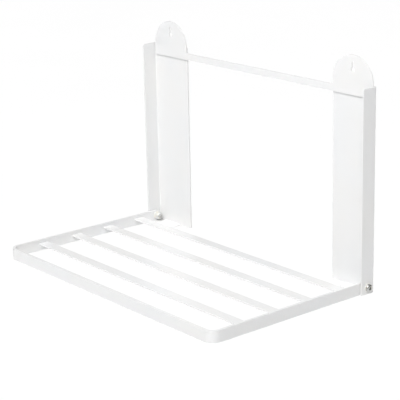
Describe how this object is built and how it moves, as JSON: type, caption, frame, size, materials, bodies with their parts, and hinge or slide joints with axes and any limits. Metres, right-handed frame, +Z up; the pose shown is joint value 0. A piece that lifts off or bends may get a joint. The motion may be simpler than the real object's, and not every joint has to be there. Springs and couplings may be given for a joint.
{
  "type": "wall mounted fold down drying rack",
  "caption": "White steel drying rack that hangs on a wall by keyholes, with a tray of flat cross bars that folds down from two side brackets.",
  "frame": {"origin": "on the wall plane, midway between the two hanging screws with the rack seated on them", "axes": "+X to the right along the wall, +Y into the wall, +Z up; the tray is open, towards -Y"},
  "size_m": [0.612, 0.368, 0.4145],
  "materials": {
    "white_coat": "semi-gloss powder coat",
    "bolt_steel": "dull zinc plate",
    "zinc_steel": "bright zinc plate",
    "washer_nylon": "white nylon, satin",
    "spacer_nylon": "natural nylon, satin",
    "ring_nylon": "natural nylon, satin"
  },
  "bodies": {
    "wall_frame": {"top_plate": "white_coat", "left_bracket": "white_coat", "right_bracket": "white_coat", "left_pivot_bolt": "bolt_steel", "left_head_washer": "washer_nylon", "left_spacer_washer": "spacer_nylon", "left_nut_washer": "washer_nylon", "left_lock_nut": "zinc_steel", "left_nut_ring": "ring_nylon", "right_pivot_bolt": "bolt_steel", "right_head_washer": "washer_nylon", "right_spacer_washer": "spacer_nylon", "right_nut_washer": "washer_nylon", "right_lock_nut": "zinc_steel", "right_nut_ring": "ring_nylon"},
    "tray": {"tray_frame": "white_coat", "cross_bar_1": "white_coat", "cross_bar_2": "white_coat", "cross_bar_3": "white_coat", "cross_bar_4": "white_coat"}
  },
  "joints": [
    {"name": "tray_fold", "type": "hinge", "parent": "wall_frame", "child": "tray", "pos_m": [0, -0.016, -0.3875], "axis": [-1, 0, 0], "range_deg": [0, 90]}
  ]
}
